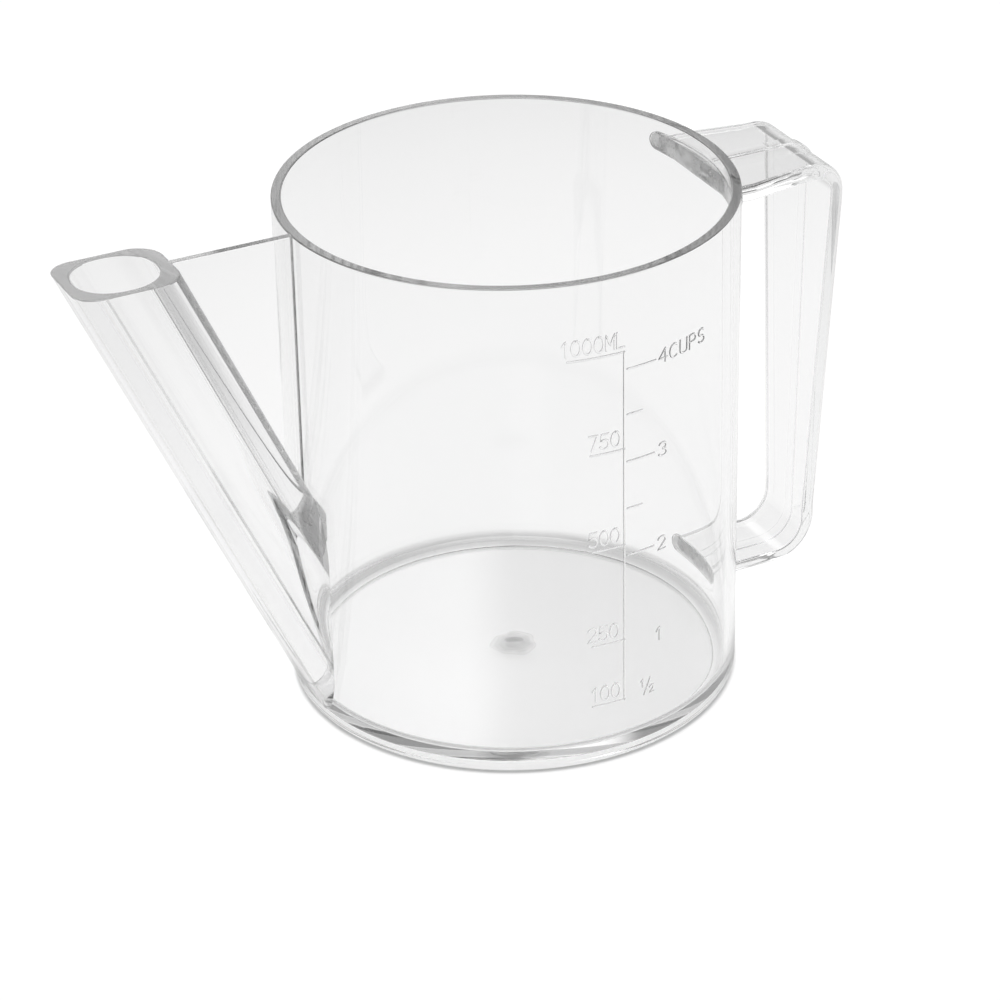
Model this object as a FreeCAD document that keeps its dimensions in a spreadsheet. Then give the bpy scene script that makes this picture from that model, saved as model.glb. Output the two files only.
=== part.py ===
"""Gravy separator: a clear one-litre beaker, a low pouring spout and a strap handle.

The part stands on its foot ring at z = 0. The beaker's axis is vertical, the spout rises on
the -X side, the handle is on the +X side, and the scale faces -Y. All sizes are millimetres.
Three mouldings are bonded face to face: beaker, pouring_spout and handle.
"""
import FreeCAD, Part
import math
import os
import Sketcher

DIMENSIONS = [
    # beaker
    ("body_radius", 56.5, "outer radius of the beaker's wall"),
    ("body_height", 131.0, "foot to rim"),
    ("body_wall", 2.5, "wall thickness"),
    ("floor_thickness", 2.9, "floor plate"),
    ("foot_height", 1.5, "how far the foot ring stands below the floor plate"),
    ("foot_ring_width", 5.5, "foot ring, from the wall's outer face inwards"),
    ("base_round", 2.2, "rounding of the base's outer edge"),
    ("floor_bevel", 2.2, "bevel between floor and wall, inside"),
    ("rim_bevel", 0.4, "bevel of the edges of the rims"),
    ("gate_radius", 3.5, "gate mark in the middle of the underside"),
    ("gate_depth", 0.6, "depth of the gate mark"),
    # pouring spout
    ("spout_reach", 114.0, "beaker axis to the spout's outermost edge, at the rim"),
    ("spout_tilt", 24.4, "spout axis away from the vertical, in degrees"),
    ("spout_width", 22.8, "across the spout"),
    ("spout_corner", 4.3, "rounding of the spout's long edges"),
    ("bore_radius", 9.35, "round bore of the spout"),
    ("spout_lower_wall", 2.6, "wall under the bore"),
    ("spout_upper_wall", 3.3, "wall between the bore and the web"),
    ("spout_clearance", 0.6, "table up to the spout's lowest edge"),
    ("web_thickness", 2.2, "plate between spout and beaker"),
    # handle
    ("arm_drop", 4.9, "rim down to the top of the upper arm"),
    ("arm_height", 11.8, "table up to the underside of the lower arm"),
    ("arm_thickness", 3.7, "thickness of both arms"),
    ("grip_thickness", 4.1, "thickness of the upright grip"),
    ("finger_gap_top", 24.8, "beaker wall to grip, at the top"),
    ("finger_gap_bottom", 22.6, "beaker wall to grip, at the bottom"),
    ("upper_corner", 8.0, "outer rounding of the upper corner"),
    ("lower_corner", 12.0, "outer rounding of the lower corner"),
    ("corner_lead", 3.0, "the strap keeps its width this far past each corner"),
    ("upper_root_width", 41.5, "upper arm, where it starts in the wall"),
    ("upper_strap_width", 33.0, "strap at its upper corner"),
    ("lower_root_width", 20.0, "lower arm, where it starts in the wall"),
    ("lower_strap_width", 19.2, "strap at its lower corner"),
    ("outer_edge_round", 1.9, "rounding of the strap's long edges, outside"),
    ("inner_edge_round", 0.5, "rounding of the strap's long edges, on the finger side"),
    ("rib_width", 3.4, "low rib along the middle of the strap's outer face"),
    ("rib_height", 0.5, "how far the rib stands proud"),
    ("upper_pad_width", 44.0, "bonded pad behind the upper arm"),
    ("lower_pad_width", 24.4, "bonded pad behind the lower arm"),
    ("pad_height", 5.1, "height of both pads"),
    ("pad_depth", 0.8, "how far the pads stand off the wall"),
]

# Places that several pieces share, as expressions in those names.
FLOOR_TOP = "([foot_height] + [floor_thickness])"
INNER_RADIUS = "([body_radius] - [body_wall])"
BORE_AXIS_AT_RIM = "([spout_reach] - ([spout_lower_wall] + [bore_radius]) / cos([spout_tilt]))"
BORE_LENGTH = "([body_height] / cos([spout_tilt]) + [bore_radius])"
ARM_TOP = "([body_height] - [arm_drop])"
ARM_UNDER = f"({ARM_TOP} - [arm_thickness])"
LOWER_ARM_TOP = "([arm_height] + [arm_thickness])"
GRIP_INNER_TOP = "([body_radius] + [finger_gap_top])"
GRIP_INNER_BOTTOM = "([body_radius] + [finger_gap_bottom])"
GRIP_OUTER_TOP = f"({GRIP_INNER_TOP} + [grip_thickness])"
GRIP_OUTER_BOTTOM = f"({GRIP_INNER_BOTTOM} + [grip_thickness])"
GRIP_LEAN = f"(([finger_gap_top] - [finger_gap_bottom]) / ({ARM_TOP} - [arm_height]))"
UPPER_INNER_CORNER = "([upper_corner] - [grip_thickness])"
LOWER_INNER_CORNER = "([lower_corner] - [grip_thickness])"
# Between these places round each corner the strap keeps its width.
UPPER_BEND = f"({ARM_TOP} - [upper_corner] - [corner_lead])"
LOWER_BEND = "([arm_height] + [lower_corner] + [corner_lead])"
UPPER_ARM_END = f"({GRIP_OUTER_TOP} - [upper_corner] - [corner_lead])"
LOWER_ARM_END = f"({GRIP_OUTER_BOTTOM} - [lower_corner] - [corner_lead])"
# The arms start inside the wall's outer face, out to the ends of the widest pad.
ROOT_START = "(sqrt([body_radius] ^ 2 - ([upper_pad_width] / 2) ^ 2) - [body_wall])"
# The origin of the part is under the middle of its overall length.
HANDLE_REACH = f"({GRIP_OUTER_TOP} + [rib_height] - {GRIP_LEAN} * [upper_corner])"
FRAME_SHIFT = f"([spout_reach] - {HANDLE_REACH}) / 2"

doc = FreeCAD.newDocument("GravySeparator")
sheet = doc.addObject("Spreadsheet::Sheet", "Sizes")
for row, (alias, value, meaning) in enumerate(DIMENSIONS, start=1):
    sheet.set(f"A{row}", meaning)
    sheet.set(f"B{row}", str(value))
    sheet.setAlias(f"B{row}", alias)
doc.recompute()


def in_sheet(expression):
    """The expression with every [name] turned into that cell of the sheet."""
    return expression.replace("[", "Sizes.").replace("]", "")


def size(expression):
    """The number that the expression comes to."""
    return float(sheet.evalExpression(in_sheet(expression)))


def bind(item, path, expression):
    item.setExpression(path, in_sheet(expression))


def origin_feature(body, role):
    return next(item for item in body.Origin.OriginFeatures if item.Role == role)


def new_sketch(body, name, role, height="0"):
    """A sketch on one of the body's origin planes, raised along that plane's normal."""
    sketch = body.newObject("Sketcher::SketchObject", name)
    sketch.AttachmentSupport = (origin_feature(body, role), [""])
    sketch.MapMode = "FlatFace"
    bind(sketch, "AttachmentOffset.Base.z", height)
    return sketch


def pin(sketch, geometry, point, place):
    """Hold a point of the sketch at a place, given as two expressions."""
    for kind, expression in zip(("DistanceX", "DistanceY"), place):
        index = sketch.addConstraint(
            Sketcher.Constraint(kind, -1, 1, geometry, point, size(expression)))
        bind(sketch, f"Constraints[{index}]", expression)


def add_polygon(sketch, corners):
    """A closed outline of straight lines through the corners."""
    points = [FreeCAD.Vector(size(across), size(up), 0) for across, up in corners]
    first = sketch.GeometryCount
    count = len(corners)
    for index in range(count):
        sketch.addGeometry(Part.LineSegment(points[index], points[(index + 1) % count]))
    for index in range(count):
        following = first + (index + 1) % count
        sketch.addConstraint(Sketcher.Constraint("Coincident", first + index, 2, following, 1))
        pin(sketch, first + index, 1, corners[index])


def add_circle(sketch, centre, radius):
    point = FreeCAD.Vector(size(centre[0]), size(centre[1]), 0)
    circle = sketch.addGeometry(Part.Circle(point, FreeCAD.Vector(0, 0, 1), size(radius)))
    index = sketch.addConstraint(Sketcher.Constraint("Radius", circle, size(radius)))
    bind(sketch, f"Constraints[{index}]", radius)
    pin(sketch, circle, 3, centre)


def outline(body, name, role, corners, height="0"):
    sketch = new_sketch(body, name, role, height)
    add_polygon(sketch, corners)
    return sketch


def swapped_side(corners):
    """The same corners on the other side of the sketch's first axis."""
    return [(across, f"-{up}") for across, up in corners]


def pad(body, name, sketch, length):
    """A pad of the sketch, half of it to each side of its plane."""
    feature = body.newObject("PartDesign::Pad", name)
    feature.Profile = (sketch, [""])
    feature.Midplane = True
    bind(feature, "Length", length)
    doc.recompute()
    return feature


def check_cut(feature):
    """Recompute, and make sure that the feature took something away."""
    before = feature.BaseFeature.Shape.Volume
    doc.recompute()
    if feature.Shape.Volume > before - 1:
        raise RuntimeError(f"{feature.Name} removes nothing")


def pocket(body, name, sketch, side):
    """A pocket through all that lies above, below or on both sides of its sketch."""
    feature = body.newObject("PartDesign::Pocket", name)
    feature.Profile = (sketch, [""])
    feature.Type = "ThroughAll"
    feature.Midplane = side == "both"
    feature.Reversed = side == "above"
    check_cut(feature)


def groove(body, name, sketch):
    feature = body.newObject("PartDesign::Groove", name)
    feature.Profile = (sketch, [""])
    feature.ReferenceAxis = (origin_feature(body, "Z_Axis"), [""])
    feature.Angle = 360
    check_cut(feature)


def ease(body, kind, name, chosen, measure, width):
    """Ease those edges of the body's tip for which chosen(edge) holds."""
    tip = body.Tip
    edges = [f"Edge{index}" for index, edge in enumerate(tip.Shape.Edges, start=1)
             if chosen(edge)]
    if not edges:
        raise RuntimeError(f"{name} finds no edge")
    feature = body.newObject(kind, name)
    feature.Base = (tip, edges)
    bind(feature, measure, width)
    doc.recompute()


def fillet(body, name, chosen, radius):
    ease(body, "PartDesign::Fillet", name, chosen, "Radius", radius)


def bevel(body, name, chosen, width):
    ease(body, "PartDesign::Chamfer", name, chosen, "Size", width)


def near(first, second):
    return abs(first - second) < 1e-4


def middle_of(edge):
    return edge.valueAt((edge.FirstParameter + edge.LastParameter) / 2)


def level_at(edge, height):
    return edge.BoundBox.ZLength < 1e-4 and near(middle_of(edge).z, size(height))


def ring_at(edge, radius, height):
    point = middle_of(edge)
    return level_at(edge, height) and near((point.x ** 2 + point.y ** 2) ** 0.5, size(radius))


def across_at(edge, place):
    """The edge runs straight along Y through this place in the XZ plane."""
    box = edge.BoundBox
    straight = box.XLength < 1e-4 and box.ZLength < 1e-4
    return straight and near(box.XMin, size(place[0])) and near(box.ZMin, size(place[1]))


def turn_to_spout(item, property_name):
    """Put the item's own +Z axis on the spout's axis, rising away from the beaker."""
    setattr(item, property_name, FreeCAD.Placement(
        FreeCAD.Vector(), FreeCAD.Rotation(FreeCAD.Vector(0, -1, 0), 1)))
    bind(item, f"{property_name}.Rotation.Angle", "[spout_tilt]")


def outer_form(name):
    """A body with the beaker's outer form and no cavity; the other pieces are cut to it."""
    body = doc.addObject("PartDesign::Body", name)
    feature = body.newObject("PartDesign::Revolution", name + "Form")
    feature.Profile = (outline(body, name + "Profile", "XZ_Plane", [
        ("0", "0"),
        ("[body_radius]", "0"),
        ("[body_radius]", "[body_height]"),
        ("0", "[body_height]"),
    ]), [""])
    feature.ReferenceAxis = (origin_feature(body, "Z_Axis"), [""])
    feature.Angle = 360
    doc.recompute()
    fillet(body, name + "BaseRound", lambda edge: ring_at(edge, "[body_radius]", "0"), "[base_round]")
    return body


def make_port():
    """The bore carried on through the wall, down to the floor and no further."""
    bore = doc.addObject("Part::Cylinder", "PortBore")
    bind(bore, "Radius", "[bore_radius]")
    bind(bore, "Height", BORE_LENGTH)
    turn_to_spout(bore, "Placement")
    bind(bore, "Placement.Base.x", f"{BORE_LENGTH} * sin([spout_tilt]) - {BORE_AXIS_AT_RIM}")
    bind(bore, "Placement.Base.z", f"[body_height] - {BORE_LENGTH} * cos([spout_tilt])")
    space = doc.addObject("Part::Box", "SpaceOverFloor")
    bind(space, "Length", "[spout_reach]")
    bind(space, "Width", "[spout_width]")
    bind(space, "Height", f"[body_height] - {FLOOR_TOP}")
    bind(space, "Placement.Base.x", "-[spout_reach]")
    bind(space, "Placement.Base.y", "-[spout_width] / 2")
    bind(space, "Placement.Base.z", FLOOR_TOP)
    port = doc.addObject("Part::Common", "Port")
    port.Base = bore
    port.Tool = space
    return port


def make_beaker():
    cup = outer_form("Cup")
    groove(cup, "Cavity", outline(cup, "CavityProfile", "XZ_Plane", [
        ("0", FLOOR_TOP),
        (INNER_RADIUS, FLOOR_TOP),
        (INNER_RADIUS, "[body_height]"),
        ("0", "[body_height]"),
    ]))
    bevel(cup, "FloorBevel", lambda edge: ring_at(edge, INNER_RADIUS, FLOOR_TOP), "[floor_bevel]")
    groove(cup, "Underside", outline(cup, "UndersideProfile", "XZ_Plane", [
        ("0", "0"),
        ("[body_radius] - [foot_ring_width]", "0"),
        ("[body_radius] - [foot_ring_width]", "[foot_height]"),
        ("[gate_radius]", "[foot_height]"),
        ("[gate_radius]", "[foot_height] + [gate_depth]"),
        ("0", "[foot_height] + [gate_depth]"),
    ]))
    bevel(cup, "RimBevel", lambda edge: level_at(edge, "[body_height]"), "[rim_bevel]")
    beaker = doc.addObject("Part::Cut", "beaker")
    beaker.Base = cup
    beaker.Tool = make_port()
    return beaker


def make_pouring_spout(envelope):
    """A square-sided tube with a round bore and a web, cut off level at rim height."""
    body = doc.addObject("PartDesign::Body", "SpoutBody")
    half_width = "[spout_width] / 2"
    lower_side = "-([spout_lower_wall] + [bore_radius])"
    upper_side = "([spout_upper_wall] + [bore_radius])"
    section = new_sketch(body, "TubeSection", "XY_Plane")
    turn_to_spout(section, "AttachmentOffset")
    bind(section, "AttachmentOffset.Base.x", f"-{BORE_AXIS_AT_RIM}")
    bind(section, "AttachmentOffset.Base.z", "[body_height]")
    add_polygon(section, [
        (lower_side, f"-{half_width}"),
        (upper_side, f"-{half_width}"),
        (upper_side, half_width),
        (lower_side, half_width),
    ])
    pad(body, "Tube", section, f"2 * {BORE_LENGTH}")
    tube_edge_length = 2 * size(BORE_LENGTH)
    fillet(body, "TubeCorners", lambda edge: near(edge.Length, tube_edge_length), "[spout_corner]")

    # The web ends halfway into the tube's upper wall and halfway into the beaker's wall.
    web_start = f"(([bore_radius] + [spout_upper_wall] / 2) / cos([spout_tilt]) - {BORE_AXIS_AT_RIM})"
    web_end = "([body_wall] / 2 - [body_radius])"
    web_low = f"[body_height] - ({web_end} - {web_start}) / tan([spout_tilt])"
    pad(body, "Web", outline(body, "WebOutline", "XZ_Plane", [
        (web_start, "[body_height]"),
        (web_end, "[body_height]"),
        (web_end, web_low),
    ]), "[web_thickness]")

    mouth = new_sketch(body, "BoreSection", "XY_Plane")
    turn_to_spout(mouth, "AttachmentOffset")
    bind(mouth, "AttachmentOffset.Base.x", f"-{BORE_AXIS_AT_RIM}")
    bind(mouth, "AttachmentOffset.Base.z", "[body_height]")
    add_circle(mouth, ("0", "0"), "[bore_radius]")
    pocket(body, "Bore", mouth, "both")

    whole_plan = [
        ("-2 * [spout_reach]", "-[spout_width]"),
        ("2 * [spout_reach]", "-[spout_width]"),
        ("2 * [spout_reach]", "[spout_width]"),
        ("-2 * [spout_reach]", "[spout_width]"),
    ]
    pocket(body, "RimCut", outline(body, "RimPlane", "XY_Plane", whole_plan, "[body_height]"), "above")
    pocket(body, "TableCut", outline(body, "TablePlane", "XY_Plane", whole_plan, "[spout_clearance]"),
           "below")
    bevel(body, "MouthBevel", lambda edge: level_at(edge, "[body_height]"), "[rim_bevel]")

    spout = doc.addObject("Part::Cut", "pouring_spout")
    spout.Base = body
    spout.Tool = envelope
    return spout


def strap_block(body, name, proud, width):
    """The handle's outline filled in, standing proud of the strap by an expression."""
    sketch = outline(body, name + "Outline", "XZ_Plane", [
        (ROOT_START, f"{ARM_TOP} + {proud}"),
        (f"{GRIP_OUTER_TOP} + {proud}", f"{ARM_TOP} + {proud}"),
        (f"{GRIP_OUTER_BOTTOM} + {proud}", f"[arm_height] - {proud}"),
        (ROOT_START, f"[arm_height] - {proud}"),
    ])
    pad(body, name, sketch, width)
    for end, x, z, radius in (
            ("Upper", f"{GRIP_OUTER_TOP} + {proud}", f"{ARM_TOP} + {proud}", "[upper_corner]"),
            ("Lower", f"{GRIP_OUTER_BOTTOM} + {proud}", f"[arm_height] - {proud}", "[lower_corner]")):
        fillet(body, f"{name}{end}Corner", lambda edge: across_at(edge, (x, z)),
               f"{radius} + {proud}")


def taper_strap(body):
    """Cut the strap's sides: wide at the upper root, narrow round the lower corner."""
    beyond = "[upper_pad_width]"
    upper_half = "[upper_strap_width] / 2"
    lower_half = "[lower_strap_width] / 2"
    far = f"({GRIP_OUTER_TOP} + [grip_thickness])"

    def arm_side(root_half, strap_half, arm_end):
        return [
            (ROOT_START, root_half),
            (arm_end, strap_half),
            (far, strap_half),
            (far, beyond),
            (ROOT_START, beyond),
        ]

    grip_side = [
        (upper_half, UPPER_BEND),
        (beyond, UPPER_BEND),
        (beyond, LOWER_BEND),
        (lower_half, LOWER_BEND),
    ]
    other_grip_side = [(f"-{across}", up) for across, up in grip_side]
    upper_side = arm_side("[upper_root_width] / 2", upper_half, UPPER_ARM_END)
    lower_side = arm_side("[lower_root_width] / 2", lower_half, LOWER_ARM_END)
    for name, role, height, sides, where in (
            ("Grip", "YZ_Plane", "0", (grip_side, other_grip_side), "both"),
            ("UpperArm", "XY_Plane", UPPER_BEND, (upper_side, swapped_side(upper_side)), "above"),
            ("LowerArm", "XY_Plane", LOWER_BEND, (lower_side, swapped_side(lower_side)), "below")):
        sketch = new_sketch(body, name + "Sides", role, height)
        for corners in sides:
            add_polygon(sketch, corners)
        pocket(body, name + "Taper", sketch, where)


def strap_long_edge(shape, edge, outside):
    """An edge between a side of the strap and its outer face, or its finger-side face."""
    faces = shape.ancestorsOfType(edge, Part.Face)
    point = middle_of(edge)
    on_rib = near(abs(point.y), size("[rib_width] / 2"))
    if len(faces) != 2 or on_rib or near(point.x, size(ROOT_START)):
        return False
    normals = []
    for face in faces:
        u, v = face.Surface.parameter(point)
        normals.append(face.normalAt(u, v))
    normals.sort(key=lambda normal: abs(normal.y))
    over, side = normals
    if abs(side.y) < 0.7 or abs(over.y) > 0.3:
        return False
    heart = FreeCAD.Vector(size(LOWER_ARM_END), 0, size("[body_height] / 2"))
    return (over.dot(point - heart) > 0) == outside


def make_pads():
    """Two round-ended pads that follow the wall behind the arms."""
    body = doc.addObject("PartDesign::Body", "PadBody")
    sketch = new_sketch(body, "PadOutlines", "YZ_Plane")
    half_height = "[pad_height] / 2"
    for width, middle in (
            ("[upper_pad_width]", f"{ARM_TOP} - ([arm_thickness] - [rib_height]) / 2"),
            ("[lower_pad_width]", "[arm_height] + ([arm_thickness] - [rib_height]) / 2")):
        add_slot(sketch, f"{width} / 2 - {half_height}", middle, half_height)
    pad(body, "Pads", sketch, "4 * [body_radius]")
    skin = doc.addObject("Part::Cylinder", "PadSkin")
    bind(skin, "Radius", "[body_radius] + [pad_depth]")
    bind(skin, "Height", "[body_height]")
    near_side = doc.addObject("Part::Box", "HandleSide")
    bind(near_side, "Length", "2 * [body_radius]")
    bind(near_side, "Width", "2 * [upper_pad_width]")
    bind(near_side, "Height", "[body_height]")
    bind(near_side, "Placement.Base.y", "-[upper_pad_width]")
    halves = doc.addObject("Part::Common", "PadsOnHandleSide")
    halves.Base = body
    halves.Tool = near_side
    pads = doc.addObject("Part::Common", "RootPads")
    pads.Base = halves
    pads.Tool = skin
    return pads


def add_slot(sketch, half_straight, middle, radius):
    """A level slot with round ends about the sketch's vertical axis."""
    centre_y = size(middle)
    reach = size(half_straight)
    end_radius = size(radius)
    axis = FreeCAD.Vector(0, 0, 1)
    quarter = math.pi / 2
    right_circle = Part.Circle(FreeCAD.Vector(reach, centre_y, 0), axis, end_radius)
    left_circle = Part.Circle(FreeCAD.Vector(-reach, centre_y, 0), axis, end_radius)
    right = sketch.addGeometry(Part.ArcOfCircle(right_circle, -quarter, quarter))
    left = sketch.addGeometry(Part.ArcOfCircle(left_circle, quarter, 3 * quarter))
    top = sketch.addGeometry(Part.LineSegment(
        FreeCAD.Vector(reach, centre_y + end_radius, 0),
        FreeCAD.Vector(-reach, centre_y + end_radius, 0)))
    bottom = sketch.addGeometry(Part.LineSegment(
        FreeCAD.Vector(-reach, centre_y - end_radius, 0),
        FreeCAD.Vector(reach, centre_y - end_radius, 0)))
    for first, second in ((right, top), (top, left), (left, bottom), (bottom, right)):
        sketch.addConstraint(Sketcher.Constraint("Tangent", first, 2, second, 1))
    for arc, across in ((right, half_straight), (left, f"-({half_straight})")):
        pin(sketch, arc, 3, (across, middle))
        index = sketch.addConstraint(Sketcher.Constraint("Radius", arc, end_radius))
        bind(sketch, f"Constraints[{index}]", radius)


def make_handle(envelope):
    """A strap with an open finger gap, tapered sides and an outer rib, on two bonded pads."""
    body = doc.addObject("PartDesign::Body", "StrapBody")
    strap_block(body, "Strap", "0", "[upper_root_width]")
    strap_block(body, "Rib", "[rib_height]", "[rib_width]")
    gap = outline(body, "FingerGapOutline", "XZ_Plane", [
        (f"{ROOT_START} - [body_wall]", ARM_UNDER),
        (GRIP_INNER_TOP, ARM_UNDER),
        (GRIP_INNER_BOTTOM, LOWER_ARM_TOP),
        (f"{ROOT_START} - [body_wall]", LOWER_ARM_TOP),
    ])
    pocket(body, "FingerGap", gap, "both")
    fillet(body, "UpperInnerCorner", lambda edge: across_at(edge, (GRIP_INNER_TOP, ARM_UNDER)),
           UPPER_INNER_CORNER)
    fillet(body, "LowerInnerCorner",
           lambda edge: across_at(edge, (GRIP_INNER_BOTTOM, LOWER_ARM_TOP)), LOWER_INNER_CORNER)
    taper_strap(body)
    outside = body.Tip.Shape
    fillet(body, "OuterEdges", lambda edge: strap_long_edge(outside, edge, True),
           "[outer_edge_round]")
    inside = body.Tip.Shape
    fillet(body, "InnerEdges", lambda edge: strap_long_edge(inside, edge, False),
           "[inner_edge_round]")

    blank = doc.addObject("Part::Fuse", "HandleBlank")
    blank.Base = body
    blank.Tool = make_pads()
    handle = doc.addObject("Part::Cut", "handle")
    handle.Base = blank
    handle.Tool = envelope
    return handle


envelope = outer_form("Envelope")
pieces = [make_beaker(), make_pouring_spout(envelope), make_handle(envelope)]
for piece in pieces:
    piece.Label = piece.Name
    bind(piece, "Placement.Base.x", FRAME_SHIFT)
doc.recompute()

for item in doc.Objects:
    if "Invalid" in item.State or "Error" in item.State:
        raise RuntimeError(f"{item.Name} failed: {item.State}")
for piece in pieces:
    shape = piece.Shape
    if shape.isNull() or not shape.isValid() or len(shape.Solids) != 1:
        raise RuntimeError(f"{piece.Label} is not one valid solid")

os.makedirs("parts", exist_ok=True)
for piece in pieces:
    piece.Shape.exportStep(f"parts/{piece.Label}.step")
    box = piece.Shape.BoundBox
    print(f"{piece.Label}: {piece.Shape.Volume / 1000:.2f} cm3, "
          f"x {box.XMin:.2f} to {box.XMax:.2f}, y {box.YMin:.2f} to {box.YMax:.2f}, "
          f"z {box.ZMin:.2f} to {box.ZMax:.2f}")
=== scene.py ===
"""Gravy separator in clear plastic: one-litre beaker, pouring spout with its web, strap handle.

Sizes are millimetres measured from the beaker's axis and the table, with the spout on the -X side,
the handle on the +X side and the scale on the -Y side. Each mesh is put into metres, on the
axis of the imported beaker, when it is made.
"""
import bmesh
import bpy
import math
import numpy as np
from mathutils import Matrix, Vector


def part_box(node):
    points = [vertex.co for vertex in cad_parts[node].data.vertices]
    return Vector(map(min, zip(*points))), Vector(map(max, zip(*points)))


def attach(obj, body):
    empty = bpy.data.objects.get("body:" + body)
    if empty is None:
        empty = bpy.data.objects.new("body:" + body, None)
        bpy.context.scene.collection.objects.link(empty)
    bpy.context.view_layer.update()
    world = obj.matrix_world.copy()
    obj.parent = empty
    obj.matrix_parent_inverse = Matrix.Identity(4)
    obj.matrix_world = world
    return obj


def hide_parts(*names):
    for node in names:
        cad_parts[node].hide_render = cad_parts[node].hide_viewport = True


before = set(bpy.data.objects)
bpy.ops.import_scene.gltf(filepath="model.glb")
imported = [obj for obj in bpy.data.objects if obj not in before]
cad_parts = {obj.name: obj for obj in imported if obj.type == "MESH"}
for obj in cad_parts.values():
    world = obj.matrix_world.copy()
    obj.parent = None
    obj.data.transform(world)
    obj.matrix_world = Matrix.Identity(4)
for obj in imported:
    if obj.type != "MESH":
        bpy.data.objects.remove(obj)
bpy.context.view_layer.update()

# ---------------------------------------------------------------- sizes

MM = 1000.0
BEAKER_LOW, BEAKER_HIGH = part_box("beaker")
AXIS = np.array([(BEAKER_LOW.x + BEAKER_HIGH.x) / 2, (BEAKER_LOW.y + BEAKER_HIGH.y) / 2, 0.0])
BODY_RADIUS = (BEAKER_HIGH.x - BEAKER_LOW.x) / 2 * MM
BODY_HEIGHT = BEAKER_HIGH.z * MM
BODY_WALL = 2.5
INNER_RADIUS = BODY_RADIUS - BODY_WALL
FLOOR_TOP = 4.4
FOOT_HEIGHT = 1.5
FOOT_RING_WIDTH = 5.5
FOOT_RING_ROUND = 0.3
BASE_ROUND = 2.2
FLOOR_ROUND = 3.0
RIM_ROUND = 0.4
GATE_REACH = 4.6
GATE_DEPTH = 0.6

SPOUT_REACH = (AXIS[0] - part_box("pouring_spout")[0].x) * MM
SPOUT_TILT = math.radians(24.4)
SPOUT_WIDTH = 22.8
SPOUT_FAR_CORNER, SPOUT_NEAR_CORNER = 5.4, 6.8
BORE_RADIUS = 9.35
BORE_SIZE, BORE_POWER = 9.45, 2.2
LOWER_WALL = 2.6
UPPER_WALL = 3.3
WEB_THICKNESS = 2.2
BORE_AXIS_AT_RIM = SPOUT_REACH - (LOWER_WALL + BORE_RADIUS) / math.cos(SPOUT_TILT)
WEB_START = (BORE_RADIUS + UPPER_WALL / 2) / math.cos(SPOUT_TILT) - BORE_AXIS_AT_RIM

ARM_TOP = BODY_HEIGHT - 4.9
ARM_THICKNESS = 3.7
ARM_HEIGHT = 11.8
GRIP_THICKNESS = 4.1
GRIP_INNER_TOP = BODY_RADIUS + 24.8
GRIP_INNER_BOTTOM = BODY_RADIUS + 22.6
GRIP_OUTER_TOP = GRIP_INNER_TOP + GRIP_THICKNESS
GRIP_OUTER_BOTTOM = GRIP_INNER_BOTTOM + GRIP_THICKNESS
UPPER_CORNER = 8.0
LOWER_CORNER = 12.0
CORNER_LEAD = 3.0
UPPER_ROOT_HALF = 20.75
UPPER_STRAP_HALF = 16.5
LOWER_ROOT_HALF = 10.0
LOWER_STRAP_HALF = 9.6
OUTER_EDGE_ROUND = 1.9
INNER_EDGE_ROUND = 0.5
RIB_WIDTH = 3.4
RIB_HEIGHT = 0.5
UPPER_PAD_HALF = 22.0
LOWER_PAD_HALF = 12.2
PAD_HEIGHT = 5.1
PAD_DEPTH = 0.8
PAD_RISE = (ARM_THICKNESS - RIB_HEIGHT) / 2
UPPER_PAD_MIDDLE = ARM_TOP - PAD_RISE
LOWER_PAD_MIDDLE = ARM_HEIGHT + PAD_RISE

# Bonded faces reach this far into each other, so that light passes the bond as in one piece.
BOND = 0.05


# ---------------------------------------------------------------- meshes

EDGE_ANGLE = 32.0
FACE_WEIGHT = 90
TINY = 1e-6


def unit(vectors):
    """The vectors at length one."""
    return vectors / np.linalg.norm(vectors, axis=-1, keepdims=True)


def arc(centre, radius, start, stop, steps):
    """Points on a circle: centre + radius (cos a, sin a), with a from start to stop in degrees."""
    angle = np.radians(np.linspace(start, stop, steps + 1))
    return np.stack((centre[0] + radius * np.cos(angle),
                     centre[1] + radius * np.sin(angle)), axis=1)


def spread(outline, step):
    """The closed outline with points added on its long runs, none further apart than step."""
    following = np.roll(outline, -1, axis=0)
    gap = np.linalg.norm(following - outline, axis=1)
    counts = np.maximum(1, np.ceil(gap / step).astype(int))
    start = np.repeat(np.arange(len(outline)), counts)
    share = np.arange(counts.sum()) - np.repeat(np.cumsum(counts) - counts, counts)
    share = (share / counts[start])[:, None]
    spread_out = outline[start] * (1 - share) + following[start] * share
    return spread_out[np.append(True, np.linalg.norm(np.diff(spread_out, axis=0), axis=1) > TINY)]


def quads(rows, columns, wrap_rows=False):
    """Faces between closed rows of points, numbered row by row; the last may join the first."""
    row = np.arange(rows if wrap_rows else rows - 1)[:, None]
    column = np.arange(columns)[None, :]
    next_row = (row + 1) % rows
    next_column = (column + 1) % columns
    corners = (row * columns + column, row * columns + next_column,
               next_row * columns + next_column, next_row * columns + column)
    return np.stack([np.broadcast_to(c, (row.size, column.size)).ravel() for c in corners], axis=1)


def tube_faces(rows, count, first=0):
    """Faces of a closed tube with so many points in each row: its skin and its two flat ends."""
    points = [first + i for i in range(rows * count)]
    return (quads(rows, count) + first).tolist() + [points[:count][::-1], points[-count:]]


def plain_object(name, points, faces):
    """An object whose mesh has these points, in millimetres from the beaker's axis."""
    mesh = bpy.data.meshes.new(name)
    places = np.asarray(points) / MM + AXIS
    mesh.from_pydata(places.tolist(), [], [list(face) for face in faces])
    mesh.update()
    item = bpy.data.objects.new(name, mesh)
    bpy.context.scene.collection.objects.link(item)
    return item


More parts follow.
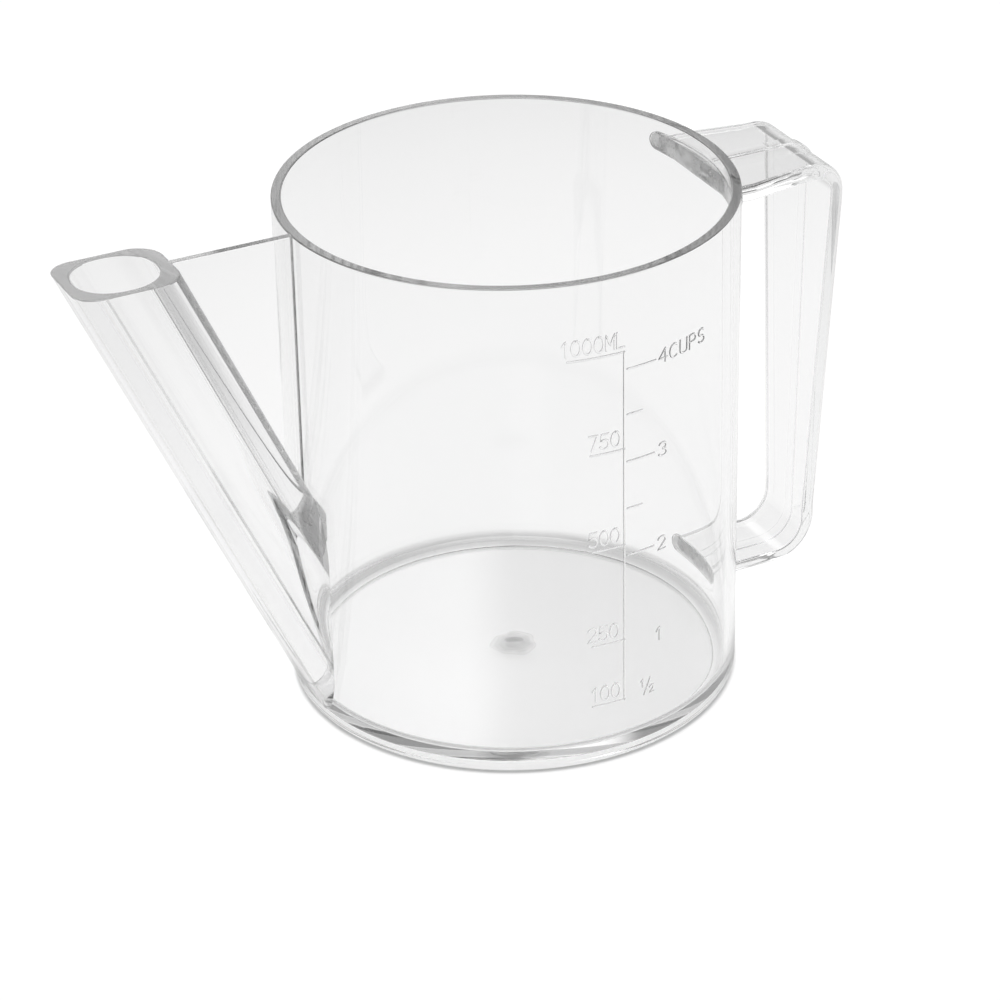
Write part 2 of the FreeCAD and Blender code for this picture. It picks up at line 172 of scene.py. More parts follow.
def outward(item):
    """Turn every face of a closed mesh outwards."""
    work = bmesh.new()
    work.from_mesh(item.data)
    bmesh.ops.recalc_face_normals(work, faces=work.faces)
    work.to_mesh(item.data)
    work.free()


def tube_object(name, rows):
    """A closed tube from an array of rows of points."""
    tube = plain_object(name, rows.reshape(-1, 3), tube_faces(*rows.shape[:2]))
    outward(tube)
    return tube


def settle(item):
    """Apply the object's modifiers to its mesh."""
    bpy.context.view_layer.update()
    evaluated = item.evaluated_get(bpy.context.evaluated_depsgraph_get())
    mesh = bpy.data.meshes.new_from_object(evaluated)
    item.modifiers.clear()
    item.data = mesh
    mesh.name = item.name


def combine(item, tool, operation):
    """Join or cut the item with a closed tool, which is then removed."""
    step = item.modifiers.new(tool.name, "BOOLEAN")
    step.operation = operation
    step.object = tool
    step.solver = "EXACT"
    settle(item)
    bpy.data.objects.remove(tool)


def polish(item, sharp=EDGE_ANGLE):
    """Smooth shading with edges crisp past an angle, where large flat faces keep their normal."""
    mesh = item.data
    mesh.shade_smooth()
    mesh.set_sharp_from_angle(angle=math.radians(sharp))
    weighting = item.modifiers.new("face_weights", "WEIGHTED_NORMAL")
    weighting.keep_sharp = True
    weighting.weight = FACE_WEIGHT
    settle(item)


def turned(name, profile, steps):
    """A profile of (radius, height) from axis to axis, carried round it: (r cos a, r sin a, z)."""
    angle = np.linspace(0, 2 * math.pi, steps, endpoint=False)
    rings = profile[1:-1]
    points = np.stack((np.outer(rings[:, 0], np.cos(angle)),
                       np.outer(rings[:, 0], np.sin(angle)),
                       np.repeat(rings[:, 1:], steps, axis=1)), axis=2).reshape(-1, 3)
    low = len(points)
    points = np.vstack((points, (0, 0, profile[0, 1]), (0, 0, profile[-1, 1])))
    here = np.arange(steps)
    following = (here + 1) % steps
    last = low - steps
    faces = quads(len(rings), steps).tolist()
    faces += np.stack((np.full(steps, low), following, here), axis=1).tolist()
    faces += np.stack((last + here, last + following, np.full(steps, low + 1)), axis=1).tolist()
    return plain_object(name, points, faces)


# ---------------------------------------------------------------- beaker

ROUND_STEPS = 720
BORE_STEPS = 144
GATE_FIRST_RING = 0.3
PORT_CORE_TOP = 76.0


def gate_bowl(radius):
    """Points of the hollow under the floor at the inlet: depth * (1 + cos(pi r / reach)) / 2."""
    hollow = GATE_DEPTH * (1 + np.cos(math.pi * radius / GATE_REACH)) / 2
    return np.stack((radius, FOOT_HEIGHT + hollow), axis=1)


def make_beaker():
    """The cup's wall, floor and foot turned about its axis, with the spout's port cut through.

    The profile goes from the inlet's hollow out under the floor, round the foot ring, up the
    outside, over the rim and down the inside to the middle of the floor.
    """
    foot_inside = BODY_RADIUS - FOOT_RING_WIDTH
    soft = FOOT_RING_ROUND
    profile = np.vstack((
        (0, FOOT_HEIGHT + GATE_DEPTH),
        gate_bowl(np.linspace(GATE_FIRST_RING, GATE_REACH, 12)),
        arc((foot_inside - soft, FOOT_HEIGHT - soft), soft, 90, 0, 4),
        arc((foot_inside + soft, soft), soft, 180, 270, 4),
        arc((BODY_RADIUS - BASE_ROUND, BASE_ROUND), BASE_ROUND, 270, 360, 14),
        arc((BODY_RADIUS - RIM_ROUND, BODY_HEIGHT - RIM_ROUND), RIM_ROUND, 0, 90, 5),
        arc((INNER_RADIUS + RIM_ROUND, BODY_HEIGHT - RIM_ROUND), RIM_ROUND, 90, 180, 5),
        arc((INNER_RADIUS - FLOOR_ROUND, FLOOR_TOP + FLOOR_ROUND), FLOOR_ROUND, 0, -90, 8),
        (0, FLOOR_TOP),
    ))
    beaker = turned("beaker_shell", profile, ROUND_STEPS)
    combine(beaker, bore_core("port_core", FLOOR_TOP, PORT_CORE_TOP), "DIFFERENCE")
    polish(beaker)
    return beaker


# ---------------------------------------------------------------- pouring spout

CORNER_STEPS = 12
OUTLINE_STEP = 1.1
EDGE_CURVE = (0.0, 0.25, 0.5, 0.75, 1.0)
FOOT_SHARES = np.linspace(0, 1, 6)[1:-1]
WEB_STEPS = 24
WEB_SUNK = 0.02
WEB_LAP = 0.5


def spout_line(across, side, along):
    """A point of the tube's own frame: across its section, to the side (y) and along its axis."""
    sine, cosine = math.sin(SPOUT_TILT), math.cos(SPOUT_TILT)
    return np.stack((-BORE_AXIS_AT_RIM + across * cosine - along * sine,
                     side + 0 * along,
                     BODY_HEIGHT + across * sine + along * cosine), axis=-1)


def at_level(across, height):
    """How far along the spout's axis its line at this place in the section is at a height."""
    return (height - BODY_HEIGHT - across * math.sin(SPOUT_TILT)) / math.cos(SPOUT_TILT)


def at_wall(across, side, radius):
    """How far along the spout's axis its line meets the beaker's cylinder of this radius."""
    reach = np.sqrt(radius ** 2 - side ** 2)
    return (-BORE_AXIS_AT_RIM + across * math.cos(SPOUT_TILT) + reach) / math.sin(SPOUT_TILT)


def spout_outline():
    """The tube's section as (across, side): a square with corners, rounder towards the beaker."""
    low, high, half = -(LOWER_WALL + BORE_RADIUS), UPPER_WALL + BORE_RADIUS, SPOUT_WIDTH / 2
    far, near = SPOUT_FAR_CORNER, SPOUT_NEAR_CORNER
    return spread(np.vstack((
        arc((high - near, half - near), near, 0, 90, CORNER_STEPS),
        arc((low + far, half - far), far, 90, 180, CORNER_STEPS),
        arc((low + far, -half + far), far, 180, 270, CORNER_STEPS),
        arc((high - near, -half + near), near, 270, 360, CORNER_STEPS),
    )), OUTLINE_STEP)


def bore_ring(turn):
    """The bore's section at these angles, a little squarer than round: |x|^n + |y|^n = r^n."""
    cosine, sine = np.cos(turn), np.sin(turn)
    total = np.abs(cosine) ** BORE_POWER + np.abs(sine) ** BORE_POWER
    radius = BORE_SIZE / total ** (1 / BORE_POWER)
    return np.stack((radius * cosine, radius * sine), axis=1)


def bore_core(name, low, high):
    """The bore as a closed rod between two levels."""
    across, side = bore_ring(np.linspace(0, 2 * math.pi, BORE_STEPS, endpoint=False)).T
    ends = [spout_line(across, side, at_level(across, level)) for level in (low, high)]
    return tube_object(name, np.stack(ends))


def make_spout():
    """A square-sided tube with a round bore, ruled from rim level down to the beaker's wall.

    Each line of the tube runs from the mouth's plane to the wall's cylinder. The section goes
    round its outline, the mouth's ring joins outline and bore, and the foot lies on the wall.
    """
    outline = spout_outline()
    bore = bore_ring(np.arctan2(outline[:, 1], outline[:, 0]))
    wall = BODY_RADIUS - BOND

    def line(section, along):
        """Points of a section carried to these distances along the tube."""
        return spout_line(section[:, 0], section[:, 1], along)

    outer_top = line(outline, at_level(outline[:, 0], BODY_HEIGHT))
    bore_top = line(bore, at_level(bore[:, 0], BODY_HEIGHT))
    outer_foot = line(outline, at_wall(outline[:, 0], outline[:, 1], wall))
    bore_foot = line(bore, at_wall(bore[:, 0], bore[:, 1], wall))

    def rounded(before, corner, after):
        """Rows that round a corner by RIM_ROUND: a curve from one side to the other."""
        start = corner + RIM_ROUND * unit(before - corner)
        stop = corner + RIM_ROUND * unit(after - corner)
        return [(1 - t) ** 2 * start + 2 * t * (1 - t) * corner + t ** 2 * stop
                for t in EDGE_CURVE]

    rows = [outer_foot]
    rows += rounded(outer_foot, outer_top, bore_top)
    rows += rounded(outer_top, bore_top, bore_foot)
    rows += [bore_foot]
    for share in FOOT_SHARES:
        section = bore + share * (outline - bore)
        rows.append(line(section, at_wall(section[:, 0], section[:, 1], wall)))
    points = np.vstack(rows)
    count = len(outline)
    tube = plain_object("spout_tube", points, quads(len(rows), count, wrap_rows=True)[:, ::-1])
    combine(tube, make_web(), "UNION")
    polish(tube)
    return tube


def web_low(x, lap=0.0):
    """The level of the web's lower edge, or of one that laps this far below it into the tube."""
    return BODY_HEIGHT - lap - (x - WEB_START) / math.tan(SPOUT_TILT)


def make_web():
    """The plate between tube and beaker: a slice in Y and Z at each X, its top edges rounded."""
    top = BODY_HEIGHT - WEB_SUNK
    half = WEB_THICKNESS / 2
    x = np.linspace(WEB_START, -BODY_RADIUS + BOND, WEB_STEPS)
    low = web_low(x, WEB_LAP)
    upper = np.vstack((arc((half - RIM_ROUND, top - RIM_ROUND), RIM_ROUND, 0, 90, 4),
                       arc((-half + RIM_ROUND, top - RIM_ROUND), RIM_ROUND, 90, 180, 4)))
    count = len(upper) + 2
    points = np.empty((len(x), count, 3))
    points[:, :, 0] = x[:, None]
    points[:, 1:-1, 1:] = upper
    points[:, 0] = np.stack((x, np.full_like(x, half), low), axis=1)
    points[:, -1] = np.stack((x, np.full_like(x, -half), low), axis=1)
    return tube_object("spout_web", points)


# ---------------------------------------------------------------- handle

RUN_STEPS, TURN_STEPS = (16, 60, 16), 20
ROOT_LEAD = 1.6
ROOT_FILLETS = (0.02, 0.3)
# The pad's edge: depth over the wall and how far in from the pad's outline.
PAD_EDGE = ((-BOND, 0.0), (0.45, 0.0), (0.65, 0.07), (PAD_DEPTH, 0.3))
# Shares of the points on half a section, and where on the pad's outline they lie.
PAD_SHARES, PAD_TURNS = (0, 0.38, 0.52, 0.68, 0.86, 1), (90, 90, 60, 0, -75, -90)
RUN_SHARES, PAD_RUNS = (0, 0.23, 0.36, 0.86, 1), (0, 0.3, 1, 1, 0)
# The rib's upper edge and the foot of its flank, from its corner at half its width.
RIB_EDGE = ((-0.35, 0.0), (-0.1, -0.1), (0.0, -0.35))
RIB_FLANK, RIB_FILLET = (0.15, 0.06), 0.45


def rounded_path(corners, radii, runs, turns):
    """Points along a line with rounded corners; runs and turns have their own numbers of steps."""
    corners = [np.array(corner, float) for corner in corners]
    pieces = []
    start = corners[0]
    for index, radius in enumerate(radii, start=1):
        before = unit(corners[index - 1] - corners[index])
        after = unit(corners[index + 1] - corners[index])
        half_turn = math.acos(np.clip(np.dot(before, after), -1, 1)) / 2
        back = radius / math.tan(half_turn)
        centre = corners[index] + unit(before + after) * radius / math.sin(half_turn)
        enter, leave = corners[index] + before * back, corners[index] + after * back
        t = np.linspace(0, 1, runs[index - 1], endpoint=False)[:, None]
        pieces.append(start + t * (enter - start))
        first, last = enter - centre, leave - centre
        span = math.acos(np.clip(np.dot(unit(first), unit(last)), -1, 1))
        t = np.linspace(0, 1, turns, endpoint=False)[:, None]
        bend = np.sin((1 - t) * span) * first + np.sin(t * span) * last
        pieces.append(centre + bend / math.sin(span))
        start = leave
    pieces.append(start + np.linspace(0, 1, runs[-1])[:, None] * (corners[-1] - start))
    return np.vstack(pieces)


def strap_half_width(reach, height):
    """Half the strap's width: it narrows outwards along the arms and downwards along the grip."""
    bend_top = ARM_TOP - UPPER_CORNER - CORNER_LEAD
    bend_low = ARM_HEIGHT + LOWER_CORNER + CORNER_LEAD
    start = math.sqrt(BODY_RADIUS ** 2 - UPPER_PAD_HALF ** 2) - BODY_WALL
    grip = np.interp(height, (bend_low, bend_top), (LOWER_STRAP_HALF, UPPER_STRAP_HALF))
    upper = np.interp(reach, (start, GRIP_OUTER_TOP - UPPER_CORNER - CORNER_LEAD),
                      (UPPER_ROOT_HALF, UPPER_STRAP_HALF))
    lower = np.interp(reach, (start, GRIP_OUTER_BOTTOM - LOWER_CORNER - CORNER_LEAD),
                      (LOWER_ROOT_HALF, LOWER_STRAP_HALF))
    half = np.where(height > bend_top, np.maximum(grip, upper), grip)
    return np.where(height < bend_low, np.maximum(grip, lower), half)


def strap_section():
    """Half the strap's section, from the middle of the rib round to the middle of the finger side.

    Each row is (share of half width, offset, share of thickness, offset), so it follows the taper.
    """
    outer_turn = np.radians(np.linspace(0, 90, 9))
    inner_turn = np.radians(np.linspace(0, 90, 6))
    rib, foot = RIB_WIDTH / 2, RIB_WIDTH / 2 + RIB_FILLET
    outer, inner = OUTER_EDGE_ROUND, INNER_EDGE_ROUND
    rows = [(0, 0, 1, RIB_HEIGHT)]
    rows += [(0, rib + y, 1, RIB_HEIGHT + n) for y, n in RIB_EDGE]
    rows += [(0, rib + RIB_FLANK[0], 1, RIB_FLANK[1]), (0, foot, 1, 0)]
    rows += [(share, (1 - share) * foot - share * outer, 1, 0) for share in (0.3, 0.65)]
    rows += [(1, outer * (math.sin(a) - 1), 1, outer * (math.cos(a) - 1)) for a in outer_turn]
    rows += [(1, inner * (math.cos(a) - 1), 0, inner * (1 - math.sin(a))) for a in inner_turn]
    rows += [(share, -share * inner, 0, 0) for share in (0.66, 0.33)]
    return np.array(rows)


def pad_outline(count, half_width):
    """A round-ended pad about its middle, as (y, z), in step with half a section's points.

    It goes from the middle of its upper edge round the +Y end to the middle of its lower edge.
    """
    tall = PAD_HEIGHT / 2
    place = np.arange(count + 1) / count
    turn = np.radians(np.interp(place, PAD_SHARES, PAD_TURNS))
    run = np.interp(place, RUN_SHARES, PAD_RUNS)
    across = run * (half_width - tall) + tall * np.cos(turn)
    across[[0, -1]] = 0
    return np.stack((across, tall * np.sin(turn)), axis=1)


def on_wall(y, depth):
    """How far from the beaker's axis, along X, a point at y stands at a depth over the wall."""
    return np.sqrt(BODY_RADIUS ** 2 - y ** 2) + depth


def root_rows(row, count, half_width, middle, side):
    """Rows from the wall out to the strap's first station: the bonded pad, then the strap's own."""
    right = pad_outline(count, half_width) * (1, side)
    pad = np.vstack((right, right[1:-1][::-1] * (-1, 1)))
    rows = []
    for depth, inset in PAD_EDGE:
        y = pad[:, 0] * (1 - inset / half_width)
        z = middle + pad[:, 1] * (1 - 2 * inset / PAD_HEIGHT)
        rows.append(np.stack((on_wall(y, depth), y, z), axis=1))
    for fillet in ROOT_FILLETS:
        x = on_wall(row[:, 1], PAD_DEPTH + fillet)
        rows.append(np.stack((x, row[:, 1], row[:, 2]), axis=1))
    return rows


def end_faces(first, half):
    """Faces that close a ring of 2 half points, as strips between its two mirrored sides."""
    count = 2 * half
    faces = []
    for step in range(half):
        right, left = (step, step + 1), ((count - step) % count, (count - step - 1) % count)
        corners = [right[0], right[1], left[1], left[0]]
        faces.append([first + corner for corner in dict.fromkeys(corners)])
    return faces


def make_handle():
    """The strap's section carried along the handle's outline, with both roots spread on the wall.

    A station is the line from the finger side to the outer side of the outline.
    """
    root = BODY_RADIUS + ROOT_LEAD
    outer = rounded_path(
        [(root, ARM_TOP), (GRIP_OUTER_TOP, ARM_TOP),
         (GRIP_OUTER_BOTTOM, ARM_HEIGHT), (root, ARM_HEIGHT)],
        (UPPER_CORNER, LOWER_CORNER), RUN_STEPS, TURN_STEPS)
    inner = rounded_path(
        [(root, ARM_TOP - ARM_THICKNESS), (GRIP_INNER_TOP, ARM_TOP - ARM_THICKNESS),
         (GRIP_INNER_BOTTOM, ARM_HEIGHT + ARM_THICKNESS), (root, ARM_HEIGHT + ARM_THICKNESS)],
        (UPPER_CORNER - GRIP_THICKNESS, LOWER_CORNER - GRIP_THICKNESS), RUN_STEPS, TURN_STEPS)
    thickness = np.linalg.norm(outer - inner, axis=1)
    rise = unit(outer - inner)
    half_width = strap_half_width(outer[:, 0], outer[:, 1])

    half = strap_section()
    section = np.vstack((half, (0, 0, 0, 0), half[1:][::-1] * (-1, -1, 1, 1)))
    y = half_width[:, None] * section[:, 0] + section[:, 1]
    n = thickness[:, None] * section[:, 2] + section[:, 3]
    strap = np.stack((inner[:, :1] + rise[:, :1] * n, y, inner[:, 1:] + rise[:, 1:] * n), axis=2)

    count = len(half)
    upper = root_rows(strap[0], count, UPPER_PAD_HALF, UPPER_PAD_MIDDLE, 1)
    lower = root_rows(strap[-1], count, LOWER_PAD_HALF, LOWER_PAD_MIDDLE, -1)
    rows = np.stack(upper + list(strap) + lower[::-1])
    faces = quads(len(rows), 2 * count).tolist()
    faces += end_faces(0, count) + end_faces((len(rows) - 1) * 2 * count, count)
    handle = plain_object("handle_strap", rows.reshape(-1, 3), faces)
    outward(handle)
    polish(handle)
    return handle


# ---------------------------------------------------------------- scale

LINE_AZIMUTH = -88.2
LINE_LOW, LINE_HIGH = 16.8, 111.4
# Text, level of its underline, azimuth where the underline starts and where the text does.
MILLILITRES = (
    ("1000ML", 111.4, -102.6, -104.5),
    ("750", 85.9, -97.0, -97.4),
    ("500", 60.0, -96.8, -97.6),
    ("250", 33.7, -96.8, -97.9),
    ("100", 16.8, -96.8, -97.5),
)
TEXT_OVER_LINE = 1.3
# Text, its level and its azimuth.
CUPS = (("4CUPS", 105.5, -78.1), ("3", 80.7, -78.0), ("2", 55.3, -78.2), ("1", 30.2, -78.6))
# Level and length of each tick right of the line.
TICKS = ((106.7, 8.0), (94.8, 4.0), (82.3, 7.6), (69.7, 4.0), (57.0, 7.6))
TICK_GAP = 0.9
MARK_WIDTH = 0.55
MARK_HEIGHT = 0.28
MARK_SUNK = 0.05
MARK_STEP = 0.35
MARK_EDGE_ANGLE = 50.0
# In degrees, the rows on a ridge's rounded end and the points over its back.
RIDGE_END = (80, 55, 30)
RIDGE_BACK = (-90, -60, -30, 0, 30, 60, 90)


def bow(centre, radii, start, stop, steps=14):
    """Points on an upright ellipse from one angle to another, in degrees."""
    angle = np.radians(np.linspace(start, stop, steps + 1))
    return [(centre[0] + radii[0] * math.cos(a), centre[1] + radii[1] * math.sin(a)) for a in angle]


# Width of each sign and its strokes, on a field one high with its left edge at 0.
SIGNS = {
    "0": (0.52, [bow((0.26, 0.5), (0.26, 0.5), 90, 450, 28)]),
    "1": (0.22, [[(0.0, 0.74), (0.2, 1.0), (0.2, 0.0)]]),
    "2": (0.50, [bow((0.25, 0.74), (0.25, 0.26), 165, -35) + [(0.0, 0.0), (0.5, 0.0)]]),
    "3": (0.50, [bow((0.23, 0.76), (0.24, 0.24), 150, -90)
                 + bow((0.23, 0.26), (0.27, 0.26), 90, -150)]),
    "4": (0.54, [[(0.42, 0.0), (0.42, 1.0), (0.0, 0.28), (0.56, 0.28)]]),
    "5": (0.50, [[(0.48, 1.0), (0.08, 1.0), (0.04, 0.56)]
                 + bow((0.23, 0.31), (0.27, 0.31), 125, -150)]),
    "7": (0.50, [[(0.0, 1.0), (0.5, 1.0), (0.16, 0.0)]]),
    "C": (0.52, [bow((0.29, 0.5), (0.29, 0.5), 50, 310, 22)]),
    "L": (0.44, [[(0.0, 1.0), (0.0, 0.0), (0.44, 0.0)]]),
    "M": (0.52, [[(0.0, 0.0), (0.0, 1.0), (0.26, 0.3), (0.52, 1.0), (0.52, 0.0)]]),
    "P": (0.48, [[(0.0, 0.0), (0.0, 1.0), (0.24, 1.0)]
                 + bow((0.24, 0.74), (0.24, 0.26), 90, -90) + [(0.0, 0.48)]]),
    "S": (0.50, [bow((0.25, 0.75), (0.24, 0.25), 40, 270)
                 + bow((0.25, 0.25), (0.25, 0.25), 90, -145)]),
    "U": (0.52, [[(0.0, 1.0)] + bow((0.26, 0.26), (0.26, 0.26), 180, 360) + [(0.52, 1.0)]]),
    "/": (0.40, [[(0.0, -0.12), (0.4, 1.12)]]),
}
# Height of a sign, distance from sign to sign and how much wider it is than drawn.
LEFT_SIGNS = (3.9, 2.85, 1.08)
RIGHT_SIGNS = (3.5, 3.4, 1.30)
SMALL_SIGNS = (2.0, 1.3, 1.1)
# The half's signs: text, distance from the first, level and size.
HALF_CUP_AZIMUTH = -83.3
HALF_CUP = (
    ("1", 0.0, 18.6, SMALL_SIGNS),
    ("/", 0.9, 16.6, RIGHT_SIGNS),
    ("2", 2.6, 16.2, SMALL_SIGNS),
)


def lettering(text, left, base, signs):
    """Strokes, in millimetres along the wall and up it, of a line of signs in their own fields.

    A 1 among others stands in the middle of its field.
    """
    capital, pitch, widen = signs
    strokes = []
    for place, sign in enumerate(text):
        width, paths = SIGNS[sign]
        spare = (SIGNS["0"][0] - width) / 2 if sign == "1" and len(text) > 1 else 0.0
        start = left + place * pitch + spare * capital * widen
        strokes += [np.array(path) * (capital * widen, capital) + (start, base) for path in paths]
    return strokes


def wall_place(azimuth):
    """Length along the wall's outer face, from the scale's line, of a place at this azimuth."""
    return math.radians(azimuth - LINE_AZIMUTH) * BODY_RADIUS


def scale_strokes():
    """The scale: an upright line, millilitres left of it on underlines, cups right of it, ticks."""
    strokes = [np.array([(0, LINE_LOW), (0, LINE_HIGH)])]
    for text, level, start, left in MILLILITRES:
        strokes.append(np.array([(wall_place(start), level), (0, level)]))
        strokes += lettering(text, wall_place(left), level + TEXT_OVER_LINE, LEFT_SIGNS)
    for level, length in TICKS:
        strokes.append(np.array([(TICK_GAP, level), (TICK_GAP + length, level)]))
    for text, level, azimuth in CUPS:
        strokes += lettering(text, wall_place(azimuth), level, RIGHT_SIGNS)
    half = wall_place(HALF_CUP_AZIMUTH)
    for text, away, level, signs in HALF_CUP:
        strokes += lettering(text, half + away, level, signs)
    return strokes


def spread_path(path, step):
    """The open path with points added, none further apart than a step, and sharp turns kept."""
    gaps = np.linalg.norm(np.diff(path, axis=0), axis=1)
    pieces = [start + np.linspace(0, 1, max(1, math.ceil(gap / step)), endpoint=False)[:, None]
              * (stop - start) for start, stop, gap in zip(path[:-1], path[1:], gaps)]
    return np.vstack(pieces + [path[-1:]])


def ridge(path):
    """A low round-topped ridge along a path on the wall: rows of (along, up, height over the wall).

    Across it the height is MARK_HEIGHT cos a; both ends shrink to a point on a half circle.
    """
    path = spread_path(path, MARK_STEP)
    ahead = unit(np.gradient(path, axis=0))
    aside = np.stack((-ahead[:, 1], ahead[:, 0]), axis=1)
    radius = MARK_WIDTH / 2
    cap = np.radians(RIDGE_END)
    path = np.vstack((path[0] - radius * np.sin(cap)[:, None] * ahead[0], path,
                      path[-1] + radius * np.sin(cap[::-1])[:, None] * ahead[-1]))
    aside = np.vstack((np.repeat(aside[:1], 3, axis=0), aside, np.repeat(aside[-1:], 3, axis=0)))
    full = np.ones(len(path))
    full[:3], full[-3:] = np.cos(cap), np.cos(cap[::-1])
    lean = np.radians(RIDGE_BACK)
    across = np.append(radius * np.sin(lean), (radius, -radius))
    height = np.append(MARK_HEIGHT * np.cos(lean), (-MARK_SUNK, -MARK_SUNK))
    flat = path[:, None, :] + (full[:, None] * across)[:, :, None] * aside[:, None, :]
    tall = np.where(height > 0, full[:, None] * height, height)
    return np.concatenate((flat, tall[:, :, None]), axis=2)


def make_scale():
    """All ridges of the scale, rolled on the wall: angle = along / radius, depth = height."""
    points, faces = [], []
    first = 0
    for path in scale_strokes():
        rows = ridge(path)
        stations, count = rows.shape[:2]
        angle = math.radians(LINE_AZIMUTH) + rows[:, :, 0] / BODY_RADIUS
        radius = BODY_RADIUS + rows[:, :, 2]
        points.append(np.stack((radius * np.cos(angle), radius * np.sin(angle), rows[:, :, 1]),
                               axis=2).reshape(-1, 3))
        faces += tube_faces(stations, count, first)
        first += stations * count
    scale = plain_object("scale_marks", np.vstack(points), faces)
    outward(scale)
    polish(scale, MARK_EDGE_ANGLE)
    return scale


# ---------------------------------------------------------------- bonds

# How deep under the skin a film of cement lies, and how far it stays inside its bond's outline.
FILM_DEPTHS = (0.10, 0.16)
PAD_INSET = 0.4
FOOT_INSET = 0.15
BORE_INSET = 0.2
WEB_INSET = 0.1
WEB_TOP_INSET = 0.6
ROOT_BOND_STEPS, ROOT_BOND_SHARES = 96, np.linspace(1.0, 0.08, 9)
FOOT_BOND_TURN = 50.0
FOOT_BOND_STEPS, FOOT_BOND_SHARES = 41, np.linspace(0.1, 1.0, 7)
WEB_BOND_STEPS = 40

# The haze's discs: their radii, lift over the hollow, distance from one to the next, thickness.
HAZE_RADII = (5.8, 4.8, 3.9, 2.6)
HAZE_LIFT, HAZE_PITCH, HAZE_THICKNESS = 0.15, 0.2, 0.04
HAZE_STEPS = 72


def make_root_bond(name, half_width, middle):
    """A film under a root's pad: its round-ended outline shrunk in rings, rolled on the wall."""
    high = PAD_HEIGHT / 2 - PAD_INSET
    long = half_width - PAD_INSET
    turn = np.linspace(0, 2 * math.pi, ROOT_BOND_STEPS, endpoint=False)
    across = (long - high) * np.clip(np.cos(turn) * 3, -1, 1) + high * np.cos(turn)
    upward = high * np.sin(turn)
    share = ROOT_BOND_SHARES[:, None]
    y, z = share * across, share * upward + middle
    near, far = (np.stack((on_wall(y, depth), y, z), axis=2) for depth in FILM_DEPTHS)
    film = tube_object(name, np.vstack((near[::-1], far)))
    polish(film)
    return film


def make_upper_bond():
    """The film that bonds the handle's upper root."""
    return make_root_bond("upper_root_bond", UPPER_PAD_HALF, UPPER_PAD_MIDDLE)


def make_lower_bond():
    """The film that bonds the handle's lower root."""
    return make_root_bond("lower_root_bond", LOWER_PAD_HALF, LOWER_PAD_MIDDLE)


def make_foot_bond():
    """A thin film inside the upper part of the tube's foot, from the bore to near its outline.

    A row goes from the bore out and back, at two depths over the wall; rows follow each other
    through FOOT_BOND_TURN degrees to both sides of the top.
    """
    turn = np.radians(np.linspace(-FOOT_BOND_TURN, FOOT_BOND_TURN, FOOT_BOND_STEPS))[:, None]
    high, half = BORE_RADIUS + UPPER_WALL, SPOUT_WIDTH / 2
    side_reach = half / np.maximum(np.abs(np.sin(turn)), TINY)
    reach = np.minimum(high / np.cos(turn), side_reach) - FOOT_INSET
    radius = BORE_RADIUS + BORE_INSET + FOOT_BOND_SHARES * (reach - BORE_RADIUS - BORE_INSET)
    rows = []
    for depth, distance in zip(FILM_DEPTHS, (radius, radius[:, ::-1])):
        across, side = distance * np.cos(turn), distance * np.sin(turn)
        rows.append(spout_line(across, side, at_wall(across, side, BODY_RADIUS + depth)))
    film = tube_object("spout_foot_bond", np.concatenate(rows, axis=1))
    polish(film)
    return film


def make_web_bond():
    """A thin upright strip just inside the web's edge on the wall: one small oblong per level."""
    half = WEB_THICKNESS / 2 - WEB_INSET
    near, far = FILM_DEPTHS
    top = BODY_HEIGHT - WEB_TOP_INSET
    z = np.linspace(web_low(-BODY_RADIUS), top, WEB_BOND_STEPS)[:, None]
    depth = np.array((near, far, far, near))
    y = np.array((-half, -half, half, half))
    rows = np.stack(np.broadcast_arrays(-on_wall(y, depth), y, z), axis=2)
    film = tube_object("web_bond", rows)
    polish(film)
    return film


def make_gate():
    """Haze in the floor round the plastic's inlet: thin wavy discs, each smaller than the last.

    A disc's edge is at r (1 + 0.06 sin(3 a + r) + 0.04 sin(7 a)).
    """
    angle = np.linspace(0, 2 * math.pi, HAZE_STEPS, endpoint=False)
    points, faces = [], []
    for index, radius in enumerate(HAZE_RADII):
        edge = radius * (1 + 0.06 * np.sin(3 * angle + radius) + 0.04 * np.sin(7 * angle))
        low = FOOT_HEIGHT + GATE_DEPTH + HAZE_LIFT + HAZE_PITCH * index
        for level in (low, low + HAZE_THICKNESS):
            points.append(np.stack((edge * np.cos(angle), edge * np.sin(angle),
                                    np.full_like(angle, level)), axis=1))
        faces += tube_faces(2, HAZE_STEPS, 2 * HAZE_STEPS * index)
    haze = plain_object("gate_haze", np.vstack(points), faces)
    outward(haze)
    polish(haze)
    return haze


# ---------------------------------------------------------------- materials

PLASTIC_IOR = 1.49
PLASTIC_DENSITY = 2.5
RIPPLE_SCALE, RIPPLE_DETAIL, RIPPLE_STRENGTH, RIPPLE_DEPTH = 16.0, 1.0, 0.04, 0.001
RIPPLE_TINTS = ((0.3, 0.985), (0.7, 1.0))
SHADOW_SHARE = 0.97
SAWN_ROUGHNESS, SAWN_CLEAR = 0.25, 0.72
RIM_ROUGHNESS = 0.10
GRAIN_SCALE, GRAIN_DETAIL, GRAIN_ROUGHNESS = 420.0, 4.0, 0.6
GRAIN_DARK_AT, GRAIN_PALE_AT = 0.38, 0.68
FILM_ROUGHNESS = 0.6
CEMENT_DARK, CEMENT_PALE, CEMENT_COVER = 0.55, 0.85, 0.34
HAZE_DARK, HAZE_PALE, HAZE_COVER = 0.4, 0.7, 0.10


def emptied(owner):
    """The node tree of a material or a world, without nodes."""
    owner.use_nodes = True
    owner.node_tree.nodes.clear()
    return owner.node_tree


